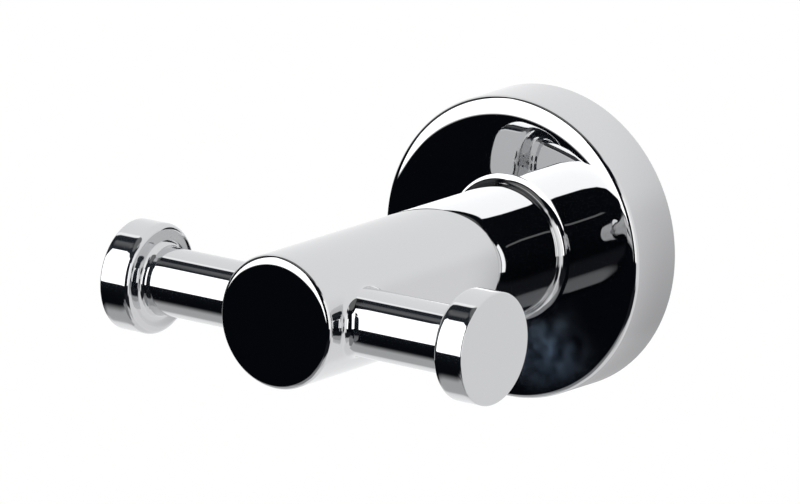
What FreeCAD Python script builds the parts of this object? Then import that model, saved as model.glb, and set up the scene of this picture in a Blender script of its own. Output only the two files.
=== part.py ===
"""Double robe hook: one plated casting on a hidden wall bracket, locked by a grub screw.

The hook's own frame: the wall is the plane Y = 0, the arm runs out along -Y, the two
pegs lie along X and +Z is up. The origin is the centre of the flange at the wall.
"""

import FreeCAD, Part
import math
import os

import Sketcher

# How a sketch names the points of an element, and its own axes and origin

START, END, CENTRE = range(1, 4)
HORIZONTAL_AXIS, VERTICAL_AXIS = range(-1, -3, -1)
ORIGIN_POINT = (HORIZONTAL_AXIS, START)

TOUCH = 1e-3

# Driving dimensions, in millimetres and degrees

SIZES = {
    # Flange
    "flange_diameter": (54.0, "across the flange at the wall"),
    "flange_draft": (0.16, "radius lost between the wall and the front edge"),
    "flange_depth": (12.0, "wall to the flat middle of the flange face"),
    "face_roll_radius": (30.0, "gentle roll where the flat face falls away to its edge"),
    "face_roll_width": (5.0, "radial width of that gentle roll"),
    "face_bevel": (0.7, "bevel between the rolled face and the side"),
    # Arm
    "arm_diameter": (23.2, "plain round arm"),
    "arm_reach": (79.7, "wall to the front of the arm"),
    "arm_fillet": (1.5, "fillet between the arm and the flange face"),
    "cap_roll_radius": (11.5, "roll of the arm's front face towards its edge"),
    "cap_roll_width": (1.4, "radial width of that roll"),
    "cap_bevel": (0.6, "bevel between the front face and the arm"),
    # Pegs and their knobs
    "peg_diameter": (11.8, "each peg"),
    "peg_length": (20.25, "side of the arm to the inner face of a knob"),
    "peg_setback": (10.6, "front of the arm to the common axis of the pegs"),
    "peg_root_fillet": (1.2, "fillet between a peg and the arm"),
    "knob_thickness": (6.05, "inner face to end face"),
    "knob_diameter": (19.3, "each knob"),
    "knob_root_bevel": (0.8, "bevel between a peg and its knob"),
    "knob_inner_bevel": (0.9, "bevel of the edge towards the arm"),
    "knob_outer_bevel": (0.3, "bevel of the end face's edge"),
    # Hollow of the casting
    "flange_wall": (3.0, "wall of the flange's side at the wall"),
    "face_wall": (3.0, "wall of the flange's face"),
    "cavity_draft": (0.3, "radius lost between the wall and the floor of the hollow"),
    "cavity_corner": (1.5, "bevel between the hollow's side and floor"),
    "arm_wall": (2.9, "wall of the arm round its core hole"),
    "nose_length": (19.2, "solid front of the arm, past the blind end of the core hole"),
    "core_bevel": (3.0, "bevel of that blind end"),
    # Ribs and boss inside the flange
    "rib_count": (3, "ribs that centre the casting on the bracket"),
    "rib_width": (2.6, "each rib"),
    "rib_setback": (1.5, "wall to the near end of a rib"),
    "boss_width": (9.5, "boss that carries the grub screw"),
    "boss_setback": (0.8, "wall to the near end of the boss"),
    "seat_clearance": (0.15, "gap between the bracket and the ribs or the boss"),
    "wall_bite": (1.0, "depth that ribs and boss run into the casting's wall"),
    # Wall bracket
    "bracket_gap": (2.5, "gap round the bracket inside the flange"),
    "bracket_recess": (2.0, "floor of the hollow to the front of the bracket's ring"),
    "bracket_web": (3.0, "thickness of the plate against the wall"),
    "bracket_ring": (3.4, "wall of the raised ring"),
    "bracket_edge": (0.5, "bevel of the ring's front edges"),
    "bracket_corner": (1.0, "bevel between the web and the ring"),
    "groove_setback": (3.0, "front of the ring to the middle of the V groove"),
    "groove_depth": (1.4, "depth of the V groove, whose sides are at 45 degrees"),
    "wall_hole": (4.5, "clearance hole for a wall screw"),
    "wall_hole_sink": (8.0, "countersink of that hole"),
    "sink_margin": (0.1, "gap between the countersink and the ring"),
    "sink_angle": (90.0, "countersink, degrees"),
    # Grub screw
    "grub_diameter": (4.9, "over the thread of the screw"),
    "thread_clearance": (0.05, "radial gap between the screw and its tapped hole"),
    "grub_length": (5.0, "end to end"),
    "grub_point": (1.2, "flat at the tip of the 45 degree cone point"),
    "grub_chamfer": (0.4, "chamfer at the socket end"),
    "point_clearance": (0.15, "gap between the point and the groove, along the screw"),
    "socket_flats": (2.5, "across the flats of the hexagon socket"),
    "socket_depth": (2.2, "depth of the hexagon socket"),
}

# Places that follow from the driving dimensions

ARM_RADIUS = "Sizes.arm_diameter / 2"
PEG_RADIUS = "Sizes.peg_diameter / 2"
PEG_FROM_WALL = "(Sizes.arm_reach - Sizes.peg_setback)"
KNOB_RADIUS = "Sizes.knob_diameter / 2"
KNOB_START = f"({ARM_RADIUS} + Sizes.peg_length)"
KNOB_END = f"({KNOB_START} + Sizes.knob_thickness)"
FLANGE_BACK_RADIUS = "Sizes.flange_diameter / 2"
FLANGE_FRONT_RADIUS = f"({FLANGE_BACK_RADIUS} - Sizes.flange_draft)"
CAVITY_RADIUS = f"({FLANGE_BACK_RADIUS} - Sizes.flange_wall)"
CAVITY_FLOOR_RADIUS = f"({CAVITY_RADIUS} - Sizes.cavity_draft)"
CAVITY_DEPTH = "(Sizes.flange_depth - Sizes.face_wall)"
CORE_RADIUS = f"({ARM_RADIUS} - Sizes.arm_wall)"
CORE_END = "(Sizes.arm_reach - Sizes.nose_length)"
BRACKET_RADIUS = f"({CAVITY_RADIUS} - Sizes.bracket_gap)"
BRACKET_DEPTH = f"({CAVITY_DEPTH} - Sizes.bracket_recess)"
RING_INSIDE = f"({BRACKET_RADIUS} - Sizes.bracket_ring)"
GROOVE_BOTTOM = f"({BRACKET_RADIUS} - Sizes.groove_depth)"
GROOVE_FROM_WALL = f"({BRACKET_DEPTH} - Sizes.groove_setback)"
WALL_HOLE_PLACE = f"({RING_INSIDE} - Sizes.wall_hole_sink / 2 - Sizes.sink_margin)"
SEAT_RADIUS = f"({BRACKET_RADIUS} + Sizes.seat_clearance)"
GRUB_RADIUS = "Sizes.grub_diameter / 2"
TIP_HEIGHT = f"({GROOVE_BOTTOM} + Sizes.grub_point / 2 + Sizes.point_clearance)"

# Unit steps of an outline: away from a turned piece's axis or back, and along that axis

OUTWARD = (1, 0)
FROM_WALL, TO_WALL = (0, 1), (0, -1)
ALONG_PEG, UP, DOWN = (1, 0), (0, 1), (0, -1)

FLIP = FreeCAD.Rotation(FreeCAD.Vector(1, 0, 0), 180)

doc = FreeCAD.newDocument("RobeHook")


def make_sheet():
    """Spreadsheet of the driving dimensions, one named cell each."""
    sheet = doc.addObject("Spreadsheet::Sheet", "Sizes")
    for row, (name, (value, note)) in enumerate(SIZES.items(), start=1):
        sheet.set(f"A{row}", name)
        sheet.set(f"B{row}", str(value))
        sheet.set(f"C{row}", note)
        sheet.setAlias(f"B{row}", name)
    doc.recompute()
    return sheet


def value_of(expression):
    """Number that an expression over the sheet gives now."""
    return float(sheet.evalExpression(expression))


# Sketches and features

def origin_item(body, role):
    """Origin plane or axis of a body, by its role."""
    return next(item for item in body.Origin.OriginFeatures if item.Role == role)


def new_sketch(body, role, name, flipped=False, offset=None):
    """Sketch on an origin plane; flipped turns it over, so that its second axis counts from the wall."""
    sketch = body.newObject("Sketcher::SketchObject", name)
    sketch.AttachmentSupport = [(origin_item(body, role), "")]
    sketch.MapMode = "FlatFace"
    if flipped:
        sketch.AttachmentOffset = FreeCAD.Placement(FreeCAD.Vector(), FLIP)
    if offset:
        axis, expression = offset
        sketch.setExpression(f".AttachmentOffset.Base.{axis}", expression)
    doc.recompute()
    return sketch


def pin(sketch, geometry, point, x, y):
    """Bind a point of a sketch to expressions for its two coordinates."""
    for kind, axis, expression in (("DistanceX", VERTICAL_AXIS, x), ("DistanceY", HORIZONTAL_AXIS, y)):
        if expression == "0":
            sketch.addConstraint(Sketcher.Constraint("PointOnObject", geometry, point, axis))
            continue
        index = sketch.addConstraint(
            Sketcher.Constraint(kind, *ORIGIN_POINT, geometry, point, value_of(expression)))
        sketch.setExpression(f"Constraints[{index}]", expression)


def bind(sketch, kind, geometry, expression):
    """Give a sketch element a radius or diameter that follows an expression."""
    index = sketch.addConstraint(Sketcher.Constraint(kind, geometry, value_of(expression)))
    sketch.setExpression(f"Constraints[{index}]", expression)


def arc_middle(start, end, radius):
    """Middle of the arc of a radius that bulges to the left of the way from start to end."""
    chord = end - start
    sagitta = radius - math.sqrt(radius * radius - chord.Length ** 2 / 4)
    return (start + end) / 2 + FreeCAD.Vector(-chord.y, chord.x, 0).normalize() * sagitta


def draw_outline(sketch, corners):
    """Closed outline, run clockwise, through corners (x, y).

    A corner (x, y, radius) is reached by an arc, which bulges out of the outline, or into it
    where a minus sign comes first. The closing line runs from the last corner to the first.
    """
    spots = [FreeCAD.Vector(value_of(x), value_of(y), 0) for x, y, *_ in corners]
    count = len(corners)
    for index, start in enumerate(spots):
        following = (index + 1) % count
        end = spots[following]
        if len(corners[following]) == 2:
            sketch.addGeometry(Part.LineSegment(start, end), False)
        elif corners[following][2].startswith("-"):
            middle = arc_middle(end, start, -value_of(corners[following][2]))
            sketch.addGeometry(Part.Arc(start, middle, end), False)
        else:
            middle = arc_middle(start, end, value_of(corners[following][2]))
            sketch.addGeometry(Part.Arc(end, middle, start), False)
    for index, (x, y, *radius) in enumerate(corners):
        before = (index - 1) % count
        leads_in = ends_of(sketch, before, spots[index])
        leaves = ends_of(sketch, index, spots[index])
        sketch.addConstraint(Sketcher.Constraint("Coincident", before, leads_in, index, leaves))
        pin(sketch, index, leaves, x, y)
        if radius:
            bind(sketch, "Radius", before, radius[0].lstrip("-"))
    settle(sketch)


def rolled_front(side, front, roll_radius, roll_width, bevel_size):
    """Corners that lead from a flat front to a side, by a gentle roll and a 45 degree bevel."""
    rolled = f"{front} - ({roll_radius} - sqrt({roll_radius} ^ 2 - {roll_width} ^ 2))"
    return [
        (f"{side} - {bevel_size} - {roll_width}", front),
        (f"{side} - {bevel_size}", rolled, roll_radius),
        (side, f"{rolled} - {bevel_size}"),
    ]


def fillet(x, y, radius, way_in, way_out):
    """Corners of a hollow fillet in a square corner, by two arcs of 45 degrees each.

    way_in and way_out are the outline's unit steps before and after the corner.
    """
    tip = 1 - math.sqrt(0.5)
    spots = []
    for back, ahead in ((1, 0), (tip, tip), (0, 1)):
        spots.append(tuple(shifted(place, ahead * out - back * into, radius)
                           for place, into, out in zip((x, y), way_in, way_out)))
    arc = (f"-{radius}",)
    return [spots[0], spots[1] + arc, spots[2] + arc]


def bevel(x, y, size, way_in, way_out):
    """Corners of a 45 degree bevel on a square corner."""
    return [tuple(shifted(place, -into, size) for place, into in zip((x, y), way_in)),
            tuple(shifted(place, out, size) for place, out in zip((x, y), way_out))]


def shifted(place, share, size):
    """Expression for a place moved by a share of a size."""
    return f"{place} + {share} * {size}" if share else place


def ends_of(sketch, geometry, spot):
    """Which end of a sketch element lies at a spot: START or END."""
    element = sketch.Geometry[geometry]
    return START if (element.StartPoint - spot).Length < (element.EndPoint - spot).Length else END


def settle(sketch):
    """Solve a sketch and make sure that nothing in it is left loose."""
    doc.recompute()
    if sketch.solve() != 0 or not sketch.FullyConstrained:
        raise RuntimeError(f"{sketch.Label} is not fully constrained")


def turn(body, kind, name, sketch, axis):
    """Revolution or Groove of a sketch through a full turn about one of its axes."""
    feature = body.newObject(f"PartDesign::{kind}", name)
    feature.Profile = sketch
    feature.ReferenceAxis = (sketch, [axis])
    feature.Angle = 360
    sketch.Visibility = False
    doc.recompute()
    return feature


def on_cylinder(edge, radius, along, centre):
    """True where a whole edge lies on a cylinder of a radius about an axis through centre."""
    first, last = edge.ParameterRange
    for step in range(5):
        away = edge.valueAt(first + (last - first) * step / 4) - centre
        if abs((away - along * away.dot(along)).Length - radius) > TOUCH:
            return False
    return True


# Casting: flange, arm, pegs and knobs in one piece

def make_hook_body():
    """The plated casting, with its hollow back, core hole, ribs and screw boss."""
    body = doc.addObject("PartDesign::Body", "hook_body")
    body.Label = "hook_body"

    turned_sketch = new_sketch(body, "XY_Plane", "FlangeAndArmOutline", flipped=True)
    draw_outline(turned_sketch, [
        ("0", "0"),
        ("0", "Sizes.arm_reach"),
        *rolled_front(ARM_RADIUS, "Sizes.arm_reach",
                      "Sizes.cap_roll_radius", "Sizes.cap_roll_width", "Sizes.cap_bevel"),
        *fillet(ARM_RADIUS, "Sizes.flange_depth", "Sizes.arm_fillet", TO_WALL, OUTWARD),
        *rolled_front(FLANGE_FRONT_RADIUS, "Sizes.flange_depth",
                      "Sizes.face_roll_radius", "Sizes.face_roll_width", "Sizes.face_bevel"),
        (FLANGE_BACK_RADIUS, "0"),
    ])
    turn(body, "Revolution", "FlangeAndArm", turned_sketch, "V_Axis")

    peg_sketch = new_sketch(body, "XY_Plane", "PegOutline", offset=("y", f"-{PEG_FROM_WALL}"))
    draw_outline(peg_sketch, [
        ("0", "0"),
        ("0", PEG_RADIUS),
        *bevel(KNOB_START, PEG_RADIUS, "Sizes.knob_root_bevel", ALONG_PEG, UP),
        *bevel(KNOB_START, KNOB_RADIUS, "Sizes.knob_inner_bevel", UP, ALONG_PEG),
        *bevel(KNOB_END, KNOB_RADIUS, "Sizes.knob_outer_bevel", ALONG_PEG, DOWN),
        (KNOB_END, "0"),
    ])
    right_peg = turn(body, "Revolution", "RightPeg", peg_sketch, "H_Axis")
    pegs = body.newObject("PartDesign::Mirrored", "BothPegs")
    pegs.Originals = [right_peg]
    pegs.MirrorPlane = (origin_item(body, "YZ_Plane"), [""])
    body.Tip = pegs
    doc.recompute()

    blend_peg_roots(body, pegs)
    hollow_casting(body)
    return body


def blend_peg_roots(body, base):
    """Fillets along the saddle curves where the pegs grow out of the arm."""
    arm_axis, peg_axis = FreeCAD.Vector(0, 1, 0), FreeCAD.Vector(1, 0, 0)
    peg_centre = FreeCAD.Vector(0, -value_of(PEG_FROM_WALL), 0)
    saddles = [f"Edge{number}" for number, edge in enumerate(base.Shape.Edges, start=1)
               if on_cylinder(edge, value_of(ARM_RADIUS), arm_axis, FreeCAD.Vector())
               and on_cylinder(edge, value_of(PEG_RADIUS), peg_axis, peg_centre)]
    if not saddles:
        raise RuntimeError("no curve found where the pegs meet the arm")
    fillets = body.newObject("PartDesign::Fillet", "PegRootFillets")
    fillets.Base = (base, saddles)
    fillets.setExpression("Radius", "Sizes.peg_root_fillet")
    doc.recompute()


def hollow_casting(body):
    """Hollow of the flange, core hole of the arm, centring ribs, screw boss and tapped hole."""
    hollow_sketch = new_sketch(body, "XY_Plane", "HollowOutline", flipped=True)
    draw_outline(hollow_sketch, [
        ("0", "0"),
        ("0", CORE_END),
        *bevel(CORE_RADIUS, CORE_END, "Sizes.core_bevel", OUTWARD, TO_WALL),
        (CORE_RADIUS, CAVITY_DEPTH),
        *bevel(CAVITY_FLOOR_RADIUS, CAVITY_DEPTH, "Sizes.cavity_corner", OUTWARD, TO_WALL),
        (CAVITY_RADIUS, "0"),
    ])
    turn(body, "Groove", "Hollow", hollow_sketch, "V_Axis")

    rib = inner_block(body, "Rib", "Sizes.rib_width", "Sizes.rib_setback", 1)
    ribs = body.newObject("PartDesign::PolarPattern", "Ribs")
    ribs.Originals = [rib]
    ribs.Axis = (origin_item(body, "Y_Axis"), [""])
    ribs.Angle = 360
    ribs.setExpression("Occurrences", "Sizes.rib_count")
    body.Tip = ribs
    doc.recompute()

    inner_block(body, "Boss", "Sizes.boss_width", "Sizes.boss_setback", -1)

    tapped_sketch = new_sketch(body, "XY_Plane", "TappedHoleOutline", flipped=True)
    tapped_sketch.addGeometry(Part.Circle(FreeCAD.Vector(0, value_of(GROOVE_FROM_WALL), 0),
                                          FreeCAD.Vector(0, 0, 1), value_of(GRUB_RADIUS)), False)
    pin(tapped_sketch, 0, CENTRE, "0", GROOVE_FROM_WALL)
    bind(tapped_sketch, "Radius", 0, f"{GRUB_RADIUS} + Sizes.thread_clearance")
    settle(tapped_sketch)
    tapped = body.newObject("PartDesign::Pocket", "TappedHole")
    tapped.Profile = tapped_sketch
    tapped.Reversed = True
    tapped.setExpression("Length", "Sizes.flange_diameter")
    doc.recompute()


def inner_block(body, name, width, setback, side):
    """Block inside the flange, from the bracket's seat into the side wall and the floor.

    It stands above the axis for side +1 and below it for side -1.
    """
    sketch = new_sketch(body, "XZ_Plane", f"{name}Outline", offset=("z", setback))
    sign = "" if side > 0 else "-"
    near = f"{sign}{SEAT_RADIUS}"
    far = f"{sign}({CAVITY_RADIUS} + Sizes.wall_bite)"
    draw_outline(sketch, [
        (f"-{width} / 2", near),
        (f"-{width} / 2", far),
        (f"{width} / 2", far),
        (f"{width} / 2", near),
    ])
    block = body.newObject("PartDesign::Pad", name)
    block.Profile = sketch
    block.setExpression("Length", f"{CAVITY_DEPTH} + Sizes.wall_bite - {setback}")
    doc.recompute()
    return block


# Wall bracket: a cast cup with a V groove round it

def make_wall_bracket():
    """Round bracket that the wall screws hold, and that the casting slides over."""
    body = doc.addObject("PartDesign::Body", "wall_bracket")
    body.Label = "wall_bracket"
    sketch = new_sketch(body, "XY_Plane", "BracketOutline", flipped=True)
    draw_outline(sketch, [
        ("0", "0"),
        ("0", "Sizes.bracket_web"),
        *bevel(RING_INSIDE, "Sizes.bracket_web", "Sizes.bracket_corner", OUTWARD, FROM_WALL),
        *bevel(RING_INSIDE, BRACKET_DEPTH, "Sizes.bracket_edge", FROM_WALL, OUTWARD),
        *bevel(BRACKET_RADIUS, BRACKET_DEPTH, "Sizes.bracket_edge", OUTWARD, TO_WALL),
        (BRACKET_RADIUS, f"{GROOVE_FROM_WALL} + Sizes.groove_depth"),
        (GROOVE_BOTTOM, GROOVE_FROM_WALL),
        (BRACKET_RADIUS, f"{GROOVE_FROM_WALL} - Sizes.groove_depth"),
        (BRACKET_RADIUS, "0"),
    ])
    turn(body, "Revolution", "Cup", sketch, "V_Axis")

    hole_sketch = new_sketch(body, "XZ_Plane", "WallHoleOutline", offset=("z", "Sizes.bracket_web"))
    hole_sketch.addGeometry(Part.Circle(FreeCAD.Vector(value_of(WALL_HOLE_PLACE), 0, 0),
                                        FreeCAD.Vector(0, 0, 1), value_of("Sizes.wall_hole / 2")), False)
    pin(hole_sketch, 0, CENTRE, WALL_HOLE_PLACE, "0")
    bind(hole_sketch, "Diameter", 0, "Sizes.wall_hole")
    settle(hole_sketch)
    hole = body.newObject("PartDesign::Hole", "WallHole")
    hole.Profile = hole_sketch
    doc.recompute()
    hole.ThreadType = "None"
    hole.DepthType = "ThroughAll"
    hole.setExpression("Diameter", "Sizes.wall_hole")
    hole.HoleCutType = "Countersink"
    hole.setExpression("HoleCutDiameter", "Sizes.wall_hole_sink")
    hole.setExpression("HoleCutCountersinkAngle", "Sizes.sink_angle")
    doc.recompute()
    holes = body.newObject("PartDesign::Mirrored", "BothWallHoles")
    holes.Originals = [hole]
    holes.MirrorPlane = (origin_item(body, "YZ_Plane"), [""])
    body.Tip = holes
    doc.recompute()
    return body


# Grub screw: hexagon socket, cone point

def make_grub_screw():
    """Screw that locks the casting to the bracket; its tip is its own origin, pointing up."""
    body = doc.addObject("PartDesign::Body", "grub_screw")
    body.Label = "grub_screw"
    tip_radius = "Sizes.grub_point / 2"
    sketch = new_sketch(body, "XZ_Plane", "ScrewOutline", flipped=True)
    draw_outline(sketch, [
        ("0", "0"),
        ("0", "Sizes.grub_length"),
        (f"{GRUB_RADIUS} - Sizes.grub_chamfer", "Sizes.grub_length"),
        (GRUB_RADIUS, "Sizes.grub_length - Sizes.grub_chamfer"),
        (GRUB_RADIUS, f"{GRUB_RADIUS} - {tip_radius}"),
        (tip_radius, "0"),
    ])
    turn(body, "Revolution", "Shank", sketch, "V_Axis")

    socket_sketch = new_sketch(body, "XY_Plane", "SocketOutline", offset=("z", "-Sizes.grub_length"))
    draw_hexagon(socket_sketch, "Sizes.socket_flats")
    socket = body.newObject("PartDesign::Pocket", "Socket")
    socket.Profile = socket_sketch
    socket.Reversed = True
    socket.setExpression("Length", "Sizes.socket_depth")
    doc.recompute()
    body.setExpression(".Placement.Base.y", f"-{GROOVE_FROM_WALL}")
    body.setExpression(".Placement.Base.z", f"-{TIP_HEIGHT}")
    doc.recompute()
    return body


def draw_hexagon(sketch, flats):
    """Regular hexagon about the sketch's origin, one corner on its horizontal axis."""
    corner_circle = f"{flats} / sqrt(3)"
    radius = value_of(corner_circle)
    corners = [FreeCAD.Vector(radius * math.cos(math.radians(60 * step)),
                              radius * math.sin(math.radians(60 * step)), 0) for step in range(6)]
    for step in range(6):
        sketch.addGeometry(Part.LineSegment(corners[step], corners[(step + 1) % 6]), False)
    circle = sketch.addGeometry(Part.Circle(FreeCAD.Vector(), FreeCAD.Vector(0, 0, 1), radius), True)
    sketch.addConstraint(Sketcher.Constraint("Coincident", circle, CENTRE, *ORIGIN_POINT))
    bind(sketch, "Radius", circle, corner_circle)
    for step in range(6):
        sketch.addConstraint(Sketcher.Constraint("Coincident", step, END, (step + 1) % 6, START))
        sketch.addConstraint(Sketcher.Constraint("PointOnObject", step, START, circle))
    for step in range(1, 6):
        sketch.addConstraint(Sketcher.Constraint("Equal", 0, step))
    sketch.addConstraint(Sketcher.Constraint("PointOnObject", 0, START, HORIZONTAL_AXIS))
    settle(sketch)


# Checks and STEP files

def check_document():
    """Stop if any object of the document failed to build."""
    for item in doc.Objects:
        if {"Invalid", "Error"} & set(item.State):
            raise RuntimeError(f"{item.Label} did not build: {item.State}")


def write_step(piece):
    """Write one finished piece to its own STEP file."""
    shape = piece.Shape
    if shape.isNull() or not shape.isValid() or len(shape.Solids) != 1:
        raise RuntimeError(f"{piece.Label} is not one valid solid")
    shape.exportStep(os.path.join("parts", f"{piece.Label}.step"))
    print(f"{piece.Label}: {shape.Volume:.1f} cubic millimetres")


sheet = make_sheet()
pieces = [make_hook_body(), make_wall_bracket(), make_grub_screw()]
doc.recompute()
check_document()
os.makedirs("parts", exist_ok=True)
for piece in pieces:
    write_step(piece)
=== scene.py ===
"""A double robe hook: one chrome-plated casting on a hidden wall bracket, in a plain studio.

The wall is the plane y = 0, the arm runs out along -y, the two pegs lie along x and z is up.
Sizes are in millimetres until they reach a mesh, whose places are in metres.
"""

from __future__ import annotations

import logging
import math
from collections.abc import Iterable, Sequence
from dataclasses import dataclass
from enum import Enum

import bmesh
import bpy
from bmesh.types import BMesh, BMFace, BMVert
from mathutils import Matrix, Vector

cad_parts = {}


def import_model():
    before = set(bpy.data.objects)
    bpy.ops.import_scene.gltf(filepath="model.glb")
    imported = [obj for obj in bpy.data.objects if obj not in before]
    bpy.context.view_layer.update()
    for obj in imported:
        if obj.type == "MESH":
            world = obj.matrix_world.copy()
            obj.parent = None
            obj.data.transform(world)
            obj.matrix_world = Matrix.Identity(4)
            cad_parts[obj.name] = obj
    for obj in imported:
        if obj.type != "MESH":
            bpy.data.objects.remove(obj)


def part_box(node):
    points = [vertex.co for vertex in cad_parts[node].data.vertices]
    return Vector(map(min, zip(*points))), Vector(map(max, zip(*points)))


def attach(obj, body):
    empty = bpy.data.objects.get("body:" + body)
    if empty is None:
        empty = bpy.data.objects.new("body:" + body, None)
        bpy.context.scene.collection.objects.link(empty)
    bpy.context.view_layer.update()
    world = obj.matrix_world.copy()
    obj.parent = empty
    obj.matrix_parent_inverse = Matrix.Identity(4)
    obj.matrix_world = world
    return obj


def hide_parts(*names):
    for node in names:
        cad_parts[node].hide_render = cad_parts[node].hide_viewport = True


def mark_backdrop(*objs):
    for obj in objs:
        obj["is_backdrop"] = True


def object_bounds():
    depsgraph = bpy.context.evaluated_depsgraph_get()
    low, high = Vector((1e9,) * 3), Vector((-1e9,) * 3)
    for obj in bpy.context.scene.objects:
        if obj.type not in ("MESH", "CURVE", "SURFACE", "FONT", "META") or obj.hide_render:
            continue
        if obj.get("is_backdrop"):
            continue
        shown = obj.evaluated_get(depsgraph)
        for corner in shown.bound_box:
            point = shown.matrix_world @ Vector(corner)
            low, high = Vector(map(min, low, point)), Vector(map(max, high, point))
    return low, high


LOG = logging.getLogger("robe_hook")

MM = 0.001
WELD = 1e-6
TAU = 2.0 * math.pi

ARM_WAY = Vector((0.0, -1.0, 0.0))
PEG_WAY = Vector((1.0, 0.0, 0.0))
UP = Vector((0.0, 0.0, 1.0))

# How the surface of a half section faces, in degrees from its axis.
AHEAD, OUT, BACK, IN = 0.0, 90.0, 180.0, 270.0

# Distance of the grub screw's axis from the wall, which the bracket's groove shares.
SCREW_HEIGHT = 4.0

# Faces round a drill, and steps across the softened edge of a box.
DRILL_STEPS = 64
BEVEL_STEPS = 3


class Join(Enum):
    """What a tool does to the piece that it meets."""

    ADD = "UNION"
    CUT = "DIFFERENCE"


class Outline:
    """A half section of a turned piece, as points (radius, height) along lines and arcs."""

    # Steps across a face's flat, each arc of its roll and its edge.
    FLAT_PARTS = 6
    ROLL_PARTS = 5
    EDGE_PARTS = 12

    def __init__(self, radius: float, height: float) -> None:
        """Start the section at a point."""
        self.points = [Vector((radius, height))]

    @staticmethod
    def normal(angle: float) -> Vector:
        """Unit vector at an angle in degrees: AHEAD runs up the height, OUT away from the axis."""
        return Vector((math.sin(math.radians(angle)), math.cos(math.radians(angle))))

    def line(self, radius: float, height: float, parts: int = 1) -> Outline:
        """Go straight to a point.

        Args:
            radius: distance of the point from the axis.
            height: distance of the point along the axis.
            parts: equal steps that the line is divided into.

        Returns:
            The outline itself, so that calls can follow each other.
        """
        start, end = self.points[-1], Vector((radius, height))
        self.points += [start.lerp(end, step / parts) for step in range(1, parts + 1)]
        return self

    def arc(self, radius: float, first: float, last: float, parts: int) -> Outline:
        """Follow an arc whose surface normal turns from one angle to another.

        Args:
            radius: radius of the arc, below zero for a hollow fillet.
            first: angle of the normal where the arc starts, in degrees.
            last: angle of the normal where it ends.
            parts: equal steps that the arc is divided into.

        Returns:
            The outline itself.
        """
        centre = self.points[-1] - self.normal(first) * radius
        for step in range(1, parts + 1):
            angle = first + (last - first) * step / parts
            self.points.append(centre + self.normal(angle) * radius)
        return self

    def rolled_edge(self, side: float, rolls: Sequence[tuple[float, float]], edge: float,
                    lean: float) -> Outline:
        """Run flat over a front face, roll off ever faster near its rim and turn into its side.

        Args:
            side: radius that the side starts from.
            rolls: radius and width of each arc of the roll, from the flat outwards.
            edge: radius of the last round, into the side.
            lean: angle of the side's normal, in degrees.

        Returns:
            The outline itself.
        """
        leans = [AHEAD]
        for radius, width in rolls:
            sine = math.sin(math.radians(leans[-1])) + width / radius
            leans.append(math.degrees(math.asin(sine)))
        edge_width = edge * (math.sin(math.radians(lean)) - math.sin(math.radians(leans[-1])))
        flat = side - edge_width - sum(width for _, width in rolls)
        self.line(flat, self.points[-1].y, self.FLAT_PARTS)
        for (radius, _), first, last in zip(rolls, leans, leans[1:]):
            self.arc(radius, first, last, self.ROLL_PARTS)
        return self.arc(edge, leans[-1], lean, self.EDGE_PARTS)

    def spin(self, bm: BMesh, origin: Vector, way: Vector, across: Vector, steps: int) -> None:
        """Turn the section into a closed skin.

        Args:
            bm: mesh that receives the skin.
            origin: point of the axis where the height is zero, in metres.
            way: unit direction of the axis.
            across: unit direction from the axis to the section.
            steps: faces round the axis.
        """
        verts = [bm.verts.new(origin + (across * spot.x + way * spot.y) * MM)
                 for spot in self.points]
        edges = [bm.edges.new(pair) for pair in zip(verts, verts[1:])]
        bmesh.ops.spin(bm, geom=verts + edges, cent=origin, axis=way, angle=TAU, steps=steps,
                       use_merge=True)
        bmesh.ops.remove_doubles(bm, verts=bm.verts, dist=WELD)


def box_tool(bm: BMesh, low: Vector, high: Vector, turn: Matrix, edge: float) -> None:
    """Add a box with softened edges to a mesh.

    Args:
        bm: mesh that receives the box.
        low: lowest corner before the turn, in millimetres.
        high: highest corner before the turn, in millimetres.
        turn: rotation of the box about the origin.
        edge: width of the softened edges, in millimetres.
    """
    size = high - low
    middle = Matrix.Translation((low + high) / 2 * MM)
    place = turn @ middle @ Matrix.Diagonal((*(size * MM), 1.0))
    made = bmesh.ops.create_cube(bm, size=1.0, matrix=place)
    edges = list({item for vert in made["verts"] for item in vert.link_edges})
    bmesh.ops.bevel(bm, geom=edges, offset=edge * MM, segments=BEVEL_STEPS, affect="EDGES",
                    profile=0.5, material=-1)


def new_object(name: str, bm: BMesh) -> bpy.types.Object:
    """Turn a finished bmesh into an object of the scene.

    Args:
        name: the piece's name.
        bm: its mesh, which is freed.

    Returns:
        The new object, at the origin.
    """
    bmesh.ops.recalc_face_normals(bm, faces=bm.faces)
    mesh = bpy.data.meshes.new(name)
    bm.to_mesh(mesh)
    bm.free()
    piece = bpy.data.objects.new(name, mesh)
    bpy.context.scene.collection.objects.link(piece)
    return piece


def join(piece: bpy.types.Object, tool: bpy.types.Object, how: Join) -> None:
    """Add a tool's shape to a piece or cut it out, and remove the tool.

    Args:
        piece: the object that keeps the result.
        tool: a closed object that is used up.
        how: what the tool does.
    """
    modifier = piece.modifiers.new("join", "BOOLEAN")
    modifier.operation = how.value
    modifier.solver = "EXACT"
    modifier.object = tool
    graph = bpy.context.evaluated_depsgraph_get()
    mesh = bpy.data.meshes.new_from_object(piece.evaluated_get(graph))
    mesh.name = piece.name
    piece.modifiers.clear()
    piece.data = mesh
    bpy.data.objects.remove(tool)


def dress(piece: bpy.types.Object, crease: float, *materials: bpy.types.Material) -> None:
    """Give a piece its materials, and shade it smooth between its sharp edges.

    Args:
        piece: the object to dress.
        crease: the turn above which an edge is sharp, in degrees.
        materials: its materials, of which the first covers all its faces.
    """
    mesh = piece.data
    mesh.materials.clear()
    for material in materials:
        mesh.materials.append(material)
    mesh.shade_smooth()
    mesh.set_sharp_from_angle(angle=math.radians(crease))
    modifier = piece.modifiers.new("true_normals", "WEIGHTED_NORMAL")
    modifier.keep_sharp = True


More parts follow.
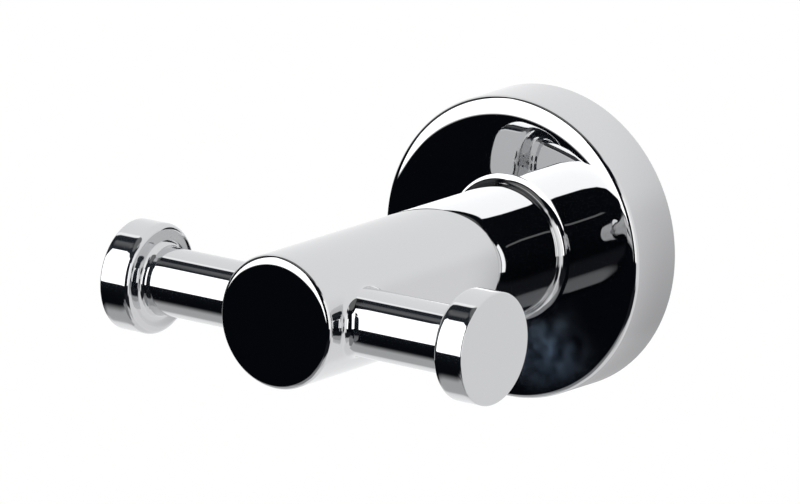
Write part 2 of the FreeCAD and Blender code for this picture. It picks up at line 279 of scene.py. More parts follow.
class Field:
    """A value socket that Python's operators reach through Math nodes."""

    def __init__(self, nodes: Nodes, socket: bpy.types.NodeSocket) -> None:
        """Wrap a socket of a node tree."""
        self.nodes = nodes
        self.socket = socket

    def __add__(self, other: Value) -> Field:
        """This value plus another."""
        return self.nodes.math("ADD", self, other)

    __radd__ = __add__

    def __sub__(self, other: Value) -> Field:
        """This value less another."""
        return self.nodes.math("SUBTRACT", self, other)

    def __rsub__(self, other: Value) -> Field:
        """Another value less this one."""
        return self.nodes.math("SUBTRACT", other, self)

    def __mul__(self, other: Value) -> Field:
        """This value times another."""
        return self.nodes.math("MULTIPLY", self, other)

    __rmul__ = __mul__


Value = Field | float
Colour = Field | tuple[float, float, float]


class Nodes:
    """A shader tree that nodes are added to one call at a time."""

    def __init__(self, tree: bpy.types.ShaderNodeTree) -> None:
        """Take over a tree and empty it."""
        self.tree = tree
        tree.nodes.clear()

    def make(self, kind: str, settings: dict[str, object], sockets: dict[int | str, object],
             output: int | str = 0) -> Field:
        """Add a node, set it up and link what feeds it.

        Args:
            kind: the node's type.
            settings: its own properties, set before its sockets.
            sockets: a value or a Field for each input, by name or number.
            output: the output that is handed back.

        Returns:
            The chosen output.
        """
        node = self.tree.nodes.new(kind)
        for name, value in settings.items():
            setattr(node, name, value)
        for key, value in sockets.items():
            if isinstance(value, Field):
                self.tree.links.new(value.socket, node.inputs[key])
            else:
                node.inputs[key].default_value = value
        return Field(self, node.outputs[output] if node.outputs else None)

    def math(self, operation: str, *values: Value) -> Field:
        """Work out a Math node's operation on one or more values."""
        return self.make("ShaderNodeMath", {"operation": operation}, dict(enumerate(values)))

    def parts(self, vector: Field) -> tuple[Field, ...]:
        """Split a vector into its three numbers."""
        split = self.make("ShaderNodeSeparateXYZ", {}, {0: vector})
        return tuple(Field(self, socket) for socket in split.socket.node.outputs)

    def place(self) -> Field:
        """The point on the object, in metres."""
        return self.make("ShaderNodeTexCoord", {}, {}, "Object")

    def noise(self, scale: float, detail: float, roughness: float = 0.5) -> Field:
        """Soft cloud of values round one half, of about so many waves to the metre."""
        return self.make("ShaderNodeTexNoise", {"noise_dimensions": "3D"},
                         {"Vector": self.place(), "Scale": scale, "Detail": detail,
                          "Roughness": roughness})

    def span(self, value: Value, low: float, high: float,
             out_low: float, out_high: float) -> Field:
        """Map a value from one range to another, held at the ends."""
        return self.make("ShaderNodeMapRange", {"clamp": True},
                         {0: value, 1: low, 2: high, 3: out_low, 4: out_high})

    def ease(self, value: Value, low: float, high: float) -> Field:
        """Rise smoothly from 0 at the first limit to 1 at the second, whichever is the higher."""
        return self.make("ShaderNodeMapRange", {"interpolation_type": "SMOOTHSTEP"},
                         {0: value, 1: low, 2: high, 3: 0.0, 4: 1.0})

    @staticmethod
    def opaque(colour: Colour) -> Field | tuple[float, ...]:
        """A colour as a socket takes it."""
        return colour if isinstance(colour, Field) else (*colour, 1.0)

    def blend(self, share: Value, first: Colour, second: Colour) -> Field:
        """Mix two colours by a share."""
        return self.make("ShaderNodeMix", {"data_type": "RGBA"},
                         {0: share, 6: self.opaque(first), 7: self.opaque(second)}, 2)

    def bump(self, height: Value, distance: float, strength: float = 1.0) -> Field:
        """Surface normal tilted by a height field, whose full range is so many metres."""
        return self.make("ShaderNodeBump", {}, {"Height": height, "Distance": distance,
                                                "Strength": strength})

    def metal(self, colour: Colour, roughness: Value, **more: Field) -> Field:
        """A surface of bare metal.

        Args:
            colour: how it tints what it mirrors.
            roughness: how far it blurs that.
            more: what feeds further sockets, by their names.

        Returns:
            The surface.
        """
        return self.make("ShaderNodeBsdfPrincipled", {}, {
            "Base Color": self.opaque(colour), "Metallic": 1.0, "Roughness": roughness, **more})

    def either(self, share: Value, first: Field, second: Field) -> Field:
        """A surface that turns from the first to the second as the share rises to 1."""
        return self.make("ShaderNodeMixShader", {}, {0: share, 1: first, 2: second})

    def finish(self, shader: Field, kind: str = "ShaderNodeOutputMaterial") -> None:
        """Link the surface that the tree ends in."""
        self.make(kind, {}, {"Surface": shader})


def new_material(name: str) -> tuple[bpy.types.Material, Nodes]:
    """Start a material, whose shader tree is still empty."""
    material = bpy.data.materials.new(name)
    material.use_nodes = True
    return material, Nodes(material.node_tree)


@dataclass(frozen=True)
class ChromePlate:
    """Bright decorative chrome over a polished casting.

    The veil of the turned pegs sets in between two distances from the middle and from the wall.
    Clouds and waves are a noise's scale, detail and roughness, and spans are the range that is
    read from a cloud and the range that it is mapped to.
    """

    colour: tuple[float, float, float] = (0.640, 0.643, 0.648)
    roughness: float = 0.015
    veil_colour: tuple[float, float, float] = (0.55, 0.66, 0.80)
    veil_roughness: float = 0.42
    veil: float = 0.002
    turned_veil: float = 0.03
    turned_across: tuple[float, float] = (12.5, 13.5)
    turned_height: tuple[float, float] = (40.0, 45.0)
    cloud: tuple[float, float, float] = (240.0, 5.0, 0.65)
    faint_span: tuple[float, float, float, float] = (0.3, 0.7, 0.75, 1.25)
    streaky_span: tuple[float, float, float, float] = (0.35, 0.65, 0.1, 1.9)
    smudge: float = 0.14
    smudge_colour: tuple[float, float, float] = (0.42, 0.62, 0.90)
    smudge_place: tuple[float, float, float] = (9.5, -12.0, -18.0)
    smudge_reach: float = 13.0
    waves: tuple[float, float] = (90.0, 1.0)
    wave_height: float = 1.2e-5

    def wiped(self, nodes: Nodes) -> Field:
        """Share of the smudge that a cloth left under the arm."""
        away = nodes.make("ShaderNodeVectorMath", {"operation": "DISTANCE"},
                          {0: nodes.place(), 1: Vector(self.smudge_place) * MM}, "Value")
        return nodes.ease(away, self.smudge_reach * MM, 0.0)

    def veil_share(self, nodes: Nodes, wiped: Field) -> Field:
        """How much of the light the polish scatters: more on the turned pegs and the smudge."""
        across, along, _ = nodes.parts(nodes.place())
        near, far = self.turned_across
        turned = nodes.ease(nodes.math("ABSOLUTE", across), near * MM, far * MM)
        near, far = self.turned_height
        turned *= nodes.ease(along, -near * MM, -far * MM)
        cloud = nodes.noise(*self.cloud)
        faint = nodes.span(cloud, *self.faint_span)
        streaky = nodes.span(cloud, *self.streaky_span)
        overall = turned * (self.turned_veil - self.veil) + self.veil
        return overall * faint + wiped * self.smudge * streaky

    def material(self, name: str) -> bpy.types.Material:
        """Mirror metal with faint waves from the polishing wheel under a thin scattering veil."""
        material, nodes = new_material(name)
        waves = nodes.bump(nodes.noise(*self.waves), self.wave_height)
        mirror = nodes.metal(self.colour, self.roughness, Normal=waves)
        wiped = self.wiped(nodes)
        bloom = nodes.metal(nodes.blend(wiped, self.veil_colour, self.smudge_colour),
                            self.veil_roughness)
        nodes.finish(nodes.either(self.veil_share(nodes, wiped), mirror, bloom))
        return material


@dataclass(frozen=True)
class CastMetal:
    """Zinc as it leaves the die, under a thin dull coat or bare."""

    colour: tuple[float, float, float]
    stain: tuple[float, float, float]
    roughness: float
    grain_scale: float = 1400.0
    grain_detail: float = 3.0
    grain_roughness: float = 0.6
    grain_height: float = 3e-5
    grain_strength: float = 0.6
    patches: tuple[float, float, float] = (160.0, 4.0, 0.6)
    stain_span: tuple[float, float] = (0.35, 0.7)
    roughness_span: tuple[float, float] = (0.3, 0.7)
    roughness_swing: float = 0.08

    def material(self, name: str) -> bpy.types.Material:
        """Dull grainy metal with cloudy patches."""
        material, nodes = new_material(name)
        patches = nodes.noise(*self.patches)
        grain = nodes.noise(self.grain_scale, self.grain_detail, self.grain_roughness)
        nodes.finish(nodes.metal(
            nodes.blend(nodes.span(patches, *self.stain_span, 0.0, 1.0), self.colour, self.stain),
            nodes.span(patches, *self.roughness_span, self.roughness - self.roughness_swing,
                       self.roughness + self.roughness_swing),
            Normal=nodes.bump(grain, self.grain_height, self.grain_strength)))
        return material


DULL_PLATE = CastMetal((0.60, 0.60, 0.60), stain=(0.48, 0.48, 0.49), roughness=0.38)
CAST_ZINC = CastMetal((0.56, 0.57, 0.58), stain=(0.44, 0.45, 0.46), roughness=0.5)
PLATED_STEEL = CastMetal((0.62, 0.62, 0.60), stain=(0.50, 0.50, 0.49), roughness=0.25,
                         grain_scale=2600.0, grain_height=1e-5)


@dataclass(frozen=True)
class Casting:
    """The one-piece casting: flange, arm, two pegs with knobs, and the hollow behind them.

    A slack is how far a face's middle may stand off the surface that it is counted to.
    """

    flange_radius: float
    reach: float
    knob_end: float
    flange_draft: float = 0.16
    flange_depth: float = 12.0
    face_rolls: tuple[tuple[float, float], ...] = ((100.0, 3.0), (33.0, 1.6), (10.0, 1.5))
    flange_edge: float = 1.0
    wall_edge: float = 0.2
    arm_radius: float = 11.6
    arm_fillet: float = 1.7
    cap_rolls: tuple[tuple[float, float], ...] = ((60.0, 1.2), (14.0, 1.3))
    cap_edge: float = 1.0
    peg_radius: float = 5.9
    peg_setback: float = 10.6
    root_fillet: float = 1.8
    knob_radius: float = 9.65
    knob_thickness: float = 6.05
    knob_root: float = 1.2
    knob_inner_edge: float = 1.2
    knob_outer_edge: float = 0.3
    flange_wall: float = 3.0
    face_wall: float = 3.0
    cavity_draft: float = 0.3
    cavity_corner: float = 1.5
    arm_wall: float = 2.9
    nose_length: float = 19.2
    core_end_round: float = 3.0
    mouth_edge: float = 0.6
    rib_count: int = 3
    rib_width: float = 2.6
    rib_setback: float = 1.5
    boss_width: float = 9.5
    boss_setback: float = 0.8
    boss_angle: float = 180.0
    seat_radius: float = 21.65
    wall_bite: float = 1.0
    block_edge: float = 0.4
    tapped_radius: float = 2.5
    window_half: float = 8.3
    steps: int = 192
    skin_parts: int = 5
    root_parts: int = 16
    peg_parts: int = 8
    skin_slack: float = 0.1
    floor_slack: float = 0.05
    crease: float = 35.0

    @property
    def peg_height(self) -> float:
        """Distance of the pegs' common axis from the wall."""
        return self.reach - self.peg_setback

    @property
    def cavity_radius(self) -> float:
        """Radius of the flange's hollow at the wall."""
        return self.flange_radius - self.flange_wall

    @property
    def floor_height(self) -> float:
        """Distance of the hollow's floor from the wall."""
        return self.flange_depth - self.face_wall

    def outline(self) -> Outline:
        """Section of everything that is round about the arm's axis, from its front to its core.

        Beside a peg the arm has as many rows as a quarter turn has steps, so that the rim of
        each window has as many vertices as a full turn.
        """
        front_radius = self.flange_radius - self.flange_draft
        side_lean = OUT - math.degrees(math.atan(self.flange_draft / self.flange_depth))
        hollow_lean = IN - math.degrees(math.atan(self.cavity_draft / self.floor_height))
        core_radius = self.arm_radius - self.arm_wall
        core_end = self.reach - self.nose_length
        side_end = self.wall_edge * (1.0 + math.cos(math.radians(side_lean)))

        outline = Outline(0.0, self.reach)
        outline.rolled_edge(self.arm_radius, self.cap_rolls, self.cap_edge, OUT)
        outline.line(self.arm_radius, self.peg_height + self.window_half, parts=2)
        outline.line(self.arm_radius, self.peg_height - self.window_half, parts=self.steps // 4)
        outline.line(self.arm_radius, self.flange_depth + self.arm_fillet, parts=20)
        outline.arc(-self.arm_fillet, OUT, AHEAD, parts=12)
        outline.rolled_edge(front_radius, self.face_rolls, self.flange_edge, side_lean)
        outline.line(self.flange_radius, side_end, parts=12)
        outline.arc(self.wall_edge, side_lean, BACK, parts=4)
        outline.line(self.cavity_radius + self.wall_edge, 0.0, parts=2)
        outline.arc(self.wall_edge, BACK, hollow_lean, parts=4)
        outline.line(self.cavity_radius - self.cavity_draft,
                     self.floor_height - self.cavity_corner, parts=8)
        outline.arc(-self.cavity_corner, hollow_lean, BACK, parts=8)
        outline.line(core_radius + self.mouth_edge, self.floor_height, parts=6)
        outline.arc(self.mouth_edge, BACK, IN, parts=5)
        outline.line(core_radius, core_end - self.core_end_round, parts=12)
        outline.arc(-self.core_end_round, IN, BACK, parts=8)
        outline.line(0.0, core_end, parts=4)
        return outline

    def knob_outline(self) -> Outline:
        """Section of a knob about the peg's axis, from the plain peg to the end face's middle."""
        inner = self.knob_end - self.knob_thickness
        outline = Outline(self.peg_radius, inner - self.knob_root)
        outline.arc(-self.knob_root, OUT, BACK, parts=12)
        outline.line(self.knob_radius - self.knob_inner_edge, inner, parts=3)
        outline.arc(self.knob_inner_edge, BACK, OUT, parts=9)
        outline.line(self.knob_radius, self.knob_end - self.knob_outer_edge, parts=6)
        outline.arc(self.knob_outer_edge, OUT, AHEAD, parts=4)
        outline.line(0.0, self.knob_end, parts=8)
        return outline

    def open_window(self, bm: BMesh, side: int) -> list[BMVert]:
        """Take away the arm's skin round a peg's root.

        Args:
            bm: the turned skin.
            side: 1 for the peg towards +x, -1 for the other.

        Returns:
            The vertices left round the window, in order, starting at the front.
        """
        def within(face: BMFace) -> bool:
            """True for a face of the arm's skin inside the window."""
            middle = face.calc_center_median() / MM
            from_axis = math.hypot(middle.x, middle.z)
            return (abs(-middle.y - self.peg_height) < self.window_half
                    and abs(from_axis - self.arm_radius) < self.skin_slack
                    and side * middle.x > abs(middle.z))

        window = [face for face in bm.faces if within(face)]
        bmesh.ops.delete(bm, geom=window, context="FACES")
        rim = {vert for edge in bm.edges if edge.is_boundary for vert in edge.verts}

        def bearing(vert: BMVert) -> float:
            """Angle of a vertex round the peg's axis, from the front."""
            angle = math.atan2(vert.co.z, -vert.co.y - self.peg_height * MM)
            return (angle + WELD) % TAU

        return sorted(rim, key=bearing)

    def on_arm(self, side: int, round_arm: float, forward: float) -> Vector:
        """Point of the arm's skin.

        Args:
            side: which peg it is near, 1 or -1.
            round_arm: distance along the skin upwards from the peg's axis.
            forward: distance from that axis away from the wall.

        Returns:
            The point, in metres.
        """
        angle = round_arm / self.arm_radius
        return Vector((side * self.arm_radius * math.cos(angle), -(self.peg_height + forward),
                       self.arm_radius * math.sin(angle))) * MM

    def round_peg(self, side: int, along: float, radius: float, angle: float) -> Vector:
        """Point round a peg's axis.

        Args:
            side: which peg, 1 or -1.
            along: distance from the arm's axis.
            radius: distance from the peg's axis.
            angle: bearing round that axis, from the front upwards.

        Returns:
            The point, in metres.
        """
        return Vector((side * along, -(self.peg_height + radius * math.cos(angle)),
                       radius * math.sin(angle))) * MM

    def skin_ring(self, side: int, rim: Sequence[BMVert], contacts: Sequence[tuple[float, float]],
                  share: float) -> list[Vector]:
        """Places on the arm's skin part of the way from the window's rim to the root fillet.

        Args:
            side: which peg, 1 or -1.
            rim: the window's vertices.
            contacts: where the fillet meets the skin, as on_arm takes it.
            share: part of the way.

        Returns:
            One place for each vertex of the rim.
        """
        ring = []
        for vert, (round_arm, forward) in zip(rim, contacts):
            old_round = self.arm_radius * math.atan2(vert.co.z, side * vert.co.x)
            old_forward = -vert.co.y / MM - self.peg_height
            ring.append(self.on_arm(side, old_round + (round_arm - old_round) * share,
                                    old_forward + (forward - old_forward) * share))
        return ring

    def fillet_ring(self, spokes: Sequence[float], centres: Sequence[Vector],
                    share: float) -> list[Vector]:
        """Places on the root fillet part of the way from the arm to the peg.

        Args:
            spokes: bearings round the peg's axis.
            centres: the rolling ball's centre at each of them, in millimetres.
            share: part of the way.

        Returns:
            One place for each spoke.
        """
        ring = []
        for angle, centre in zip(spokes, centres):
            to_arm = Vector((-centre.x, 0.0, -centre.z)).normalized()
            to_peg = Vector((0.0, math.cos(angle), -math.sin(angle)))
            ring.append((centre + to_arm.slerp(to_peg, share) * self.root_fillet) * MM)
        return ring

    def root_rings(self, side: int, rim: Sequence[BMVert]) -> Iterable[list[Vector]]:
        """Places of the rings from the window's rim over the root fillet to the plain peg.

        The fillet is the skin of a ball that rolls round the root, touching arm and peg.

        Args:
            side: which peg, 1 or -1.
            rim: the window's vertices.

        Yields:
            One list of places for each ring.
        """
        spokes = [TAU * index / len(rim) for index in range(len(rim))]
        centres, contacts = [], []
        for angle in spokes:
            height = (self.peg_radius + self.root_fillet) * math.sin(angle)
            forward = (self.peg_radius + self.root_fillet) * math.cos(angle)
            out = math.sqrt((self.arm_radius + self.root_fillet) ** 2 - height ** 2)
            centres.append(Vector((side * out, -(self.peg_height + forward), height)))
            contacts.append((self.arm_radius * math.atan2(height, out), forward))
        for step in range(1, self.skin_parts + 1):
            yield self.skin_ring(side, rim, contacts, step / self.skin_parts)
        for step in range(1, self.root_parts + 1):
            yield self.fillet_ring(spokes, centres, step / self.root_parts)
        peg_stop = self.knob_end - self.knob_thickness - self.knob_root
        for step in range(1, self.peg_parts + 1):
            share = step / self.peg_parts
            yield [self.round_peg(side, abs(centre.x) * (1 - share) + peg_stop * share,
                                  self.peg_radius, angle)
                   for angle, centre in zip(spokes, centres)]

    def grow_peg(self, bm: BMesh, side: int) -> None:
        """Grow a peg and its knob out of a window in the arm's skin.

        Args:
            bm: the turned skin.
            side: which peg, 1 or -1.
        """
        ring = self.open_window(bm, side)
        rings = list(self.root_rings(side, ring))
        for spot in self.knob_outline().points[1:]:
            rings.append([self.round_peg(side, spot.y, spot.x, TAU * index / len(ring))
                          for index in range(len(ring))])
        for places in rings:
            ring = next_ring(bm, ring, places)
        bmesh.ops.remove_doubles(bm, verts=bm.verts, dist=WELD)

    def inner_blocks(self) -> bpy.types.Object:
        """The centring ribs and the screw boss, as one tool that the hollow's walls take in."""
        bm = bmesh.new()
        far = self.cavity_radius + self.wall_bite
        deep = self.floor_height + self.wall_bite
        blocks = [(self.rib_width, self.rib_setback, 360.0 * index / self.rib_count)
                  for index in range(self.rib_count)]
        blocks.append((self.boss_width, self.boss_setback, self.boss_angle))
        for width, setback, angle in blocks:
            box_tool(bm, Vector((-width / 2, -deep, self.seat_radius)),
                     Vector((width / 2, -setback, far)),
                     Matrix.Rotation(math.radians(angle), 4, "Y"), self.block_edge)
        return new_object("inner_blocks", bm)

    def tapped_hole(self) -> bpy.types.Object:
        """The drill that cuts the grub screw's hole through the boss and the flange's side."""
        bm = bmesh.new()
        drill = Outline(0.0, self.seat_radius - self.wall_bite)
        drill.line(self.tapped_radius, self.seat_radius - self.wall_bite)
        drill.line(self.tapped_radius, self.flange_radius + self.wall_bite)
        drill.line(0.0, self.flange_radius + self.wall_bite)
        drill.spin(bm, ARM_WAY * SCREW_HEIGHT * MM, -UP, PEG_WAY, DRILL_STEPS)
        return new_object("tapped_hole", bm)

    def build(self, outside: bpy.types.Material, inside: bpy.types.Material) -> bpy.types.Object:
        """Model the casting and dress it.

        Args:
            outside: finish of every surface that shows on the wall.
            inside: finish of the hollow behind.

        Returns:
            The casting's object.
        """
        bm = bmesh.new()
        self.outline().spin(bm, Vector(), ARM_WAY, PEG_WAY, self.steps)
        for side in (1, -1):
            self.grow_peg(bm, side)
        piece = new_object("chrome_casting", bm)
        join(piece, self.inner_blocks(), Join.ADD)
        join(piece, self.tapped_hole(), Join.CUT)
        dress(piece, self.crease, outside, inside)
        for face in piece.data.polygons:
            face.material_index = int(self.hidden(face.center / MM))
        return piece

    def hidden(self, spot: Vector) -> bool:
        """True for a point on the hollow's walls, the core, the ribs or the boss."""
        from_axis = math.hypot(spot.x, spot.z)
        in_flange = (from_axis < self.cavity_radius + self.floor_slack
                     and -spot.y < self.floor_height + self.floor_slack)
        in_core = (from_axis < self.arm_radius - self.arm_wall + self.skin_slack
                   and -spot.y < self.reach - self.nose_length + self.skin_slack)
        return in_flange or in_core


def next_ring(bm: BMesh, ring: Sequence[BMVert], places: Sequence[Vector]) -> list[BMVert]:
    """Extrude a closed ring of vertices to new places.

    Args:
        bm: the mesh.
        ring: the ring's vertices, in order.
        places: where each one's copy goes.

    Returns:
        The new ring, in the same order.
    """
    edges = [bm.edges.get((one, other)) for one, other in zip(ring, [*ring[1:], ring[0]])]
    made = bmesh.ops.extrude_edge_only(bm, edges=edges)["geom"]
    fresh = {item for item in made if isinstance(item, BMVert)}
    following = [next(edge.other_vert(vert) for edge in vert.link_edges
                      if edge.other_vert(vert) in fresh)
                 for vert in ring]
    for vert, place in zip(following, places):
        vert.co = place
    return following


@dataclass(frozen=True)
class WallBracket:
    """The cast cup that is screwed to the wall and that the casting slides over."""

    radius: float = 21.5
    depth: float = 7.0
    web: float = 3.0
    ring: float = 3.4
    edge: float = 0.5
    corner: float = 1.0
    wall_edge: float = 0.2
    groove_depth: float = 1.4
    hole_place: float = 14.0
    hole_radius: float = 2.25
    sink_radius: float = 4.0
    overshoot: float = 1.0
    steps: int = 128
    crease: float = 30.0

    def outline(self) -> Outline:
        """Section of the cup, from the middle of its web round the ring to the wall."""
        inside = self.radius - self.ring
        outline = Outline(0.0, self.web)
        outline.line(inside - self.corner, self.web, parts=4)
        outline.arc(-self.corner, AHEAD, -OUT, parts=6)
        outline.line(inside, self.depth - self.edge, parts=2)
        outline.arc(self.edge, -OUT, AHEAD, parts=4)
        outline.line(self.radius - self.edge, self.depth, parts=2)
        outline.arc(self.edge, AHEAD, OUT, parts=4)
        outline.line(self.radius, SCREW_HEIGHT + self.groove_depth)
        outline.line(self.radius - self.groove_depth, SCREW_HEIGHT, parts=2)
        outline.line(self.radius, SCREW_HEIGHT - self.groove_depth, parts=2)
        outline.line(self.radius, self.wall_edge, parts=2)
        outline.arc(self.wall_edge, OUT, BACK, parts=3)
        outline.line(0.0, 0.0, parts=6)
        return outline

    def screw_hole(self, side: int) -> bpy.types.Object:
        """The countersink drill of one wall screw's hole.

        Args:
            side: 1 for the hole towards +x, -1 for the other.

        Returns:
            The drill as an object.
        """
        bm = bmesh.new()
        slope = self.sink_radius - self.hole_radius
        top = self.web + self.overshoot
        drill = Outline(0.0, -self.overshoot)
        drill.line(self.hole_radius, -self.overshoot)
        drill.line(self.hole_radius, self.web - slope)
        drill.line(self.sink_radius + self.overshoot, top)
        drill.line(0.0, top)
        drill.spin(bm, PEG_WAY * side * self.hole_place * MM, ARM_WAY, PEG_WAY, DRILL_STEPS)
        return new_object("screw_hole", bm)

    def build(self, finish: bpy.types.Material) -> bpy.types.Object:
        """Model the bracket and dress it in a finish."""
        bm = bmesh.new()
        self.outline().spin(bm, Vector(), ARM_WAY, PEG_WAY, self.steps)
        piece = new_object("bracket_cup", bm)
        for side in (1, -1):
            join(piece, self.screw_hole(side), Join.CUT)
        dress(piece, self.crease, finish)
        return piece


@dataclass(frozen=True)
class GrubScrew:
    """The threaded screw under the flange, its tip in the bracket's groove."""

    tip_height: float = 20.85
    radius: float = 2.45
    length: float = 5.0
    point_radius: float = 0.6
    chamfer: float = 0.4
    pitch: float = 0.8
    thread_depth: float = 0.4
    flats: float = 2.5
    socket_depth: float = 2.2
    steps: int = 96
    rows: int = 80
    crease: float = 30.0

    def thread(self, bm: BMesh) -> None:
        """Draw the skin of the blank in to the thread's helix.

        Args:
            bm: the turned blank.
        """
        centre_y = -SCREW_HEIGHT * MM
        for vert in bm.verts:
            out = Vector((vert.co.x, vert.co.y - centre_y, 0.0))
            if out.length < self.point_radius * MM:
                continue
            along = -vert.co.z / MM - self.tip_height
            turn = math.atan2(out.y, out.x) / TAU
            phase = (along / self.pitch + turn) % 1.0
            root = self.radius - self.thread_depth * (1.0 - abs(2.0 * phase - 1.0))
            if out.length > root * MM and along < self.length - WELD:
                out = out.normalized() * root * MM
                vert.co.x, vert.co.y = out.x, out.y + centre_y

    def build(self, finish: bpy.types.Material) -> bpy.types.Object:
        """Model the screw and dress it in a finish."""
        bm = bmesh.new()
        cone = self.radius - self.point_radius
        end = self.tip_height + self.length
        outline = Outline(0.0, self.tip_height)
        outline.line(self.point_radius, self.tip_height)
        outline.line(self.radius, self.tip_height + cone, parts=16)
        outline.line(self.radius, end - self.chamfer, parts=self.rows)
        outline.line(self.radius - self.chamfer, end, parts=4)
        outline.line(0.0, end, parts=2)
        centre = ARM_WAY * SCREW_HEIGHT * MM
        outline.spin(bm, centre, -UP, PEG_WAY, self.steps)
        self.thread(bm)
        piece = new_object("threaded_grub_screw", bm)
        join(piece, self.hexagon_key(centre, end), Join.CUT)
        dress(piece, self.crease, finish)
        return piece

    def hexagon_key(self, centre: Vector, end: float) -> bpy.types.Object:
        """The tool that cuts the socket for the key.

        Args:
            centre: point of the screw's axis at the height of the arm's axis, in metres.
            end: distance of the screw's outer end from there, in millimetres.

        Returns:
            The tool as an object.
        """
        bm = bmesh.new()
        mouth = end + self.chamfer
        bottom = end - self.socket_depth
        radius = self.flats / math.sqrt(3) * MM
        bmesh.ops.create_cone(bm, cap_ends=True, segments=6, radius1=radius, radius2=radius,
                              depth=(mouth - bottom) * MM,
                              matrix=Matrix.Translation(centre - UP * (mouth + bottom) / 2 * MM))
        return new_object("hexagon_key", bm)


@dataclass(frozen=True)
class Panel:
    """A part of the surround between two bearings and two heights, seen from the hook."""

    azimuth: tuple[float, float]
    elevation: tuple[float, float]
    colour: tuple[float, float, float]
    feather: float

    def mask(self, nodes: Nodes, azimuth: Field, elevation: Field) -> Field:
        """How much a direction belongs to the panel.

        Args:
            nodes: the world's shader tree.
            azimuth: the direction's bearing in degrees, 0 along the arm and above 0 towards +x.
            elevation: its angle above level, in degrees.

        Returns:
            A share from 0 outside to 1 inside.
        """
        share: Value = 1.0
        for value, (low, high) in ((azimuth, self.azimuth), (elevation, self.elevation)):
            share = (nodes.ease(value, low - self.feather, low + self.feather)
                     * nodes.ease(value, high + self.feather, high - self.feather) * share)
        return share


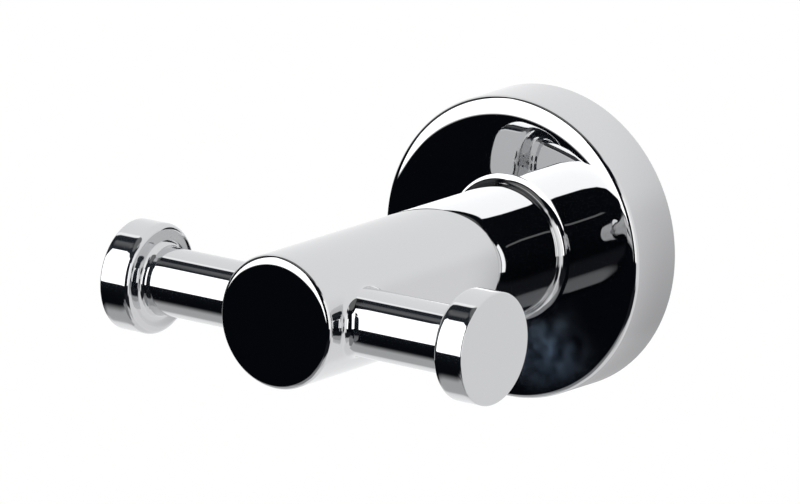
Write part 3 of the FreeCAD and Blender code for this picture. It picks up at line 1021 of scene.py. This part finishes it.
@dataclass(frozen=True)
class Studio:
    """A pale floor far below, a light tent with softboxes in a dark front, and the camera."""

    target: tuple[float, float, float] = (-6.568, -35.0, 2.601)
    distance: float = 1500.0
    azimuth: float = 35.774
    elevation: float = 14.313
    roll: float = 1.443
    lens: float = 392.3
    sensor: float = 36.0
    # These three are in metres.
    clip: tuple[float, float] = (0.1, 60.0)
    floor_height: float = -0.30
    floor_size: float = 30.0
    floor_colour: tuple[float, float, float] = (0.9, 0.9, 0.9)
    floor_glow: float = 0.1
    shade_gap: float = 3.0
    shade_radius: float = 46.0
    shade_inner: float = 28.0
    shade_slant: float = 0.35
    shade_depth: float = 0.5
    shade_steps: int = 64
    tent: tuple[float, float, float] = (1.01, 1.013, 1.02)
    # Each panel covers those before it.
    panels: tuple[Panel, ...] = (
        # The tent's duller side and floor.
        Panel((85.0, 172.0), (-45.0, 16.0), (0.925, 0.925, 0.935), 8.0),
        Panel((-200.0, 200.0), (-100.0, -52.0), (0.87, 0.87, 0.88), 9.0),
        # The dark front with its grey zenith and left edge.
        Panel((-97.0, 88.0), (58.0, 100.0), (0.17, 0.17, 0.17), 4.0),
        Panel((-98.0, 62.0), (-52.0, 60.0), (0.002, 0.0026, 0.004), 4.0),
        Panel((-117.0, -90.0), (-37.0, -5.0), (0.002, 0.0026, 0.004), 4.0),
        # The table in front, in greys that follow how the light falls on it.
        Panel((-113.0, -40.0), (-100.0, -47.5), (0.50, 0.506, 0.512), 7.0),
        Panel((20.0, 85.0), (-62.0, -44.0), (0.60, 0.60, 0.61), 4.0),
        Panel((8.0, 80.0), (-43.0, -22.0), (0.012, 0.013, 0.016), 4.0),
        Panel((-38.0, 32.0), (-80.0, -41.0), (0.27, 0.275, 0.285), 4.0),
        Panel((-14.0, 16.0), (-44.0, -34.5), (0.19, 0.195, 0.203), 2.0),
        # Lighter strips and edges of the cloth above and to the left.
        Panel((-77.0, -60.0), (49.0, 55.0), (0.13, 0.13, 0.13), 3.0),
        Panel((-106.0, -97.0), (42.0, 60.0), (1.3, 1.3, 1.3), 2.0),
        Panel((-100.0, -62.0), (10.0, 40.0), (0.05, 0.05, 0.052), 4.0),
        # The softboxes: one to the left, and two to the right with a dark flag over them.
        Panel((-55.8, 3.5), (-8.4, 44.5), (2.2, 2.2, 2.2), 0.6),
        Panel((58.0, 85.0), (40.0, 53.0), (0.01, 0.012, 0.015), 3.0),
        Panel((46.7, 56.3), (-9.0, 27.0), (2.2, 2.2, 2.2), 0.8),
        Panel((58.3, 86.0), (-9.0, 33.0), (1.25, 1.25, 1.25), 0.8),
        # A faint streak between left and right.
        Panel((30.0, 40.0), (17.0, 18.6), (0.22, 0.22, 0.22), 0.5),
    )

    def camera(self) -> None:
        """Place the camera on the photograph's viewing line, with its slight roll."""
        turn, lift = math.radians(self.azimuth), math.radians(self.elevation)
        roll = math.radians(self.roll)
        back = Vector((math.sin(turn) * math.cos(lift), -math.cos(turn) * math.cos(lift),
                       math.sin(lift)))
        level = Vector((math.cos(turn), math.sin(turn), 0.0))
        upright = back.cross(level)
        right = level * math.cos(roll) + upright * math.sin(roll)
        top = upright * math.cos(roll) - level * math.sin(roll)
        place = Matrix.Translation((Vector(self.target) + back * self.distance) * MM)
        data = bpy.data.cameras.new("camera")
        data.sensor_width = self.sensor
        data.lens = self.lens
        data.clip_start, data.clip_end = self.clip
        camera = bpy.data.objects.new("camera", data)
        camera.matrix_world = place @ Matrix((right, top, back)).transposed().to_4x4()
        bpy.context.scene.collection.objects.link(camera)
        bpy.context.scene.camera = camera

    def floor(self) -> bpy.types.Object:
        """Lay the floor, which shows from above alone and which reflections leave out."""
        bm = bmesh.new()
        bmesh.ops.create_grid(bm, x_segments=1, y_segments=1, size=self.floor_size / 2,
                              matrix=Matrix.Translation((0.0, 0.0, self.floor_height)))
        floor = new_object("floor", bm)
        floor.visible_glossy = False
        material, nodes = new_material("pale_floor")
        pale = nodes.make("ShaderNodeBsdfDiffuse", {}, {"Color": nodes.opaque(self.floor_colour)})
        glow = nodes.make("ShaderNodeEmission", {}, {"Strength": self.floor_glow})
        upper = nodes.make("ShaderNodeAddShader", {}, {0: pale, 1: glow})
        lower = nodes.make("ShaderNodeBsdfTransparent", {}, {})
        underneath = nodes.make("ShaderNodeNewGeometry", {}, {}, "Backfacing")
        nodes.finish(nodes.either(underneath, upper, lower))
        floor.data.materials.append(material)
        return floor

    def world(self) -> None:
        """Light everything evenly, and let reflections see the tent and its panels."""
        world = bpy.data.worlds.new("surround")
        world.use_nodes = True
        bpy.context.scene.world = world
        nodes = Nodes(world.node_tree)
        ray = nodes.make("ShaderNodeTexCoord", {}, {}, "Generated")
        across, along, height = nodes.parts(ray)
        degrees = 360.0 / TAU
        azimuth = nodes.math("ARCTAN2", across, 0.0 - along) * degrees
        elevation = nodes.math("ARCSINE", height) * degrees
        seen: Colour = self.tent
        for panel in self.panels:
            seen = nodes.blend(panel.mask(nodes, azimuth, elevation), seen, panel.colour)
        plain = nodes.make("ShaderNodeBackground", {}, {"Color": (1.0, 1.0, 1.0, 1.0)})
        studio = nodes.make("ShaderNodeBackground", {}, {"Color": seen})
        glossy = nodes.make("ShaderNodeLightPath", {}, {}, "Is Glossy Ray")
        nodes.finish(nodes.either(glossy, plain, studio), "ShaderNodeOutputWorld")

    def contact_shade(self) -> bpy.types.Object:
        """Hang the soft shade that the flange lays on its wall, for reflections alone."""
        bm = bmesh.new()
        place = Matrix.Translation(-ARM_WAY * self.shade_gap * MM)
        bmesh.ops.create_circle(bm, cap_ends=True, segments=self.shade_steps,
                                radius=self.shade_radius * MM,
                                matrix=place @ Matrix.Rotation(TAU / 4, 4, "X"))
        shade_card = new_object("contact_shade", bm)
        for ray in ("camera", "diffuse", "transmission", "volume_scatter", "shadow"):
            setattr(shade_card, "visible_" + ray, False)
        material, nodes = new_material("contact_shade")
        across, _, height = nodes.parts(nodes.place())
        radius = nodes.math("SQRT", across * across + height * height)
        fade = nodes.ease(radius, self.shade_radius * MM, self.shade_inner * MM)
        lower = nodes.ease(height - across * self.shade_slant, self.shade_inner * MM,
                           -self.shade_inner * MM)
        clear = nodes.make("ShaderNodeBsdfTransparent", {}, {})
        dark = nodes.make("ShaderNodeEmission", {}, {"Strength": 0.0})
        nodes.finish(nodes.either(fade * lower * self.shade_depth, clear, dark))
        shade_card.data.materials.append(material)
        return shade_card

    def build(self) -> None:
        """Set up the floor, the light and the camera."""
        self.camera()
        self.world()
        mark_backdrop(self.floor(), self.contact_shade())


def main() -> None:
    """Build the hook round its frame and set up the studio."""
    logging.basicConfig(level=logging.INFO, format="%(message)s")
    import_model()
    cad_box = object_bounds()
    bpy.context.scene.view_settings.view_transform = "Standard"

    low, high = (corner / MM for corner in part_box("hook_body"))
    chrome = ChromePlate().material("chrome_plate")
    raw_inside = DULL_PLATE.material("dull_plate")
    zinc = CAST_ZINC.material("cast_zinc")
    steel = PLATED_STEEL.material("plated_steel")

    pieces = [
        (Casting(high.z, -low.y, high.x).build(chrome, raw_inside), "hook_body", "chrome_plate"),
        (WallBracket().build(zinc), "wall_bracket", "cast_zinc"),
        (GrubScrew().build(steel), "grub_screw", "plated_steel"),
    ]
    for piece, node, slot in pieces:
        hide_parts(node)
        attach(piece, "root")
        LOG.info("%s: %d faces", piece.name, len(piece.data.polygons))
    Studio().build()

    [[list(corner) for corner in box] for box in (cad_box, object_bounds())]


if __name__ == "__main__":
    main()
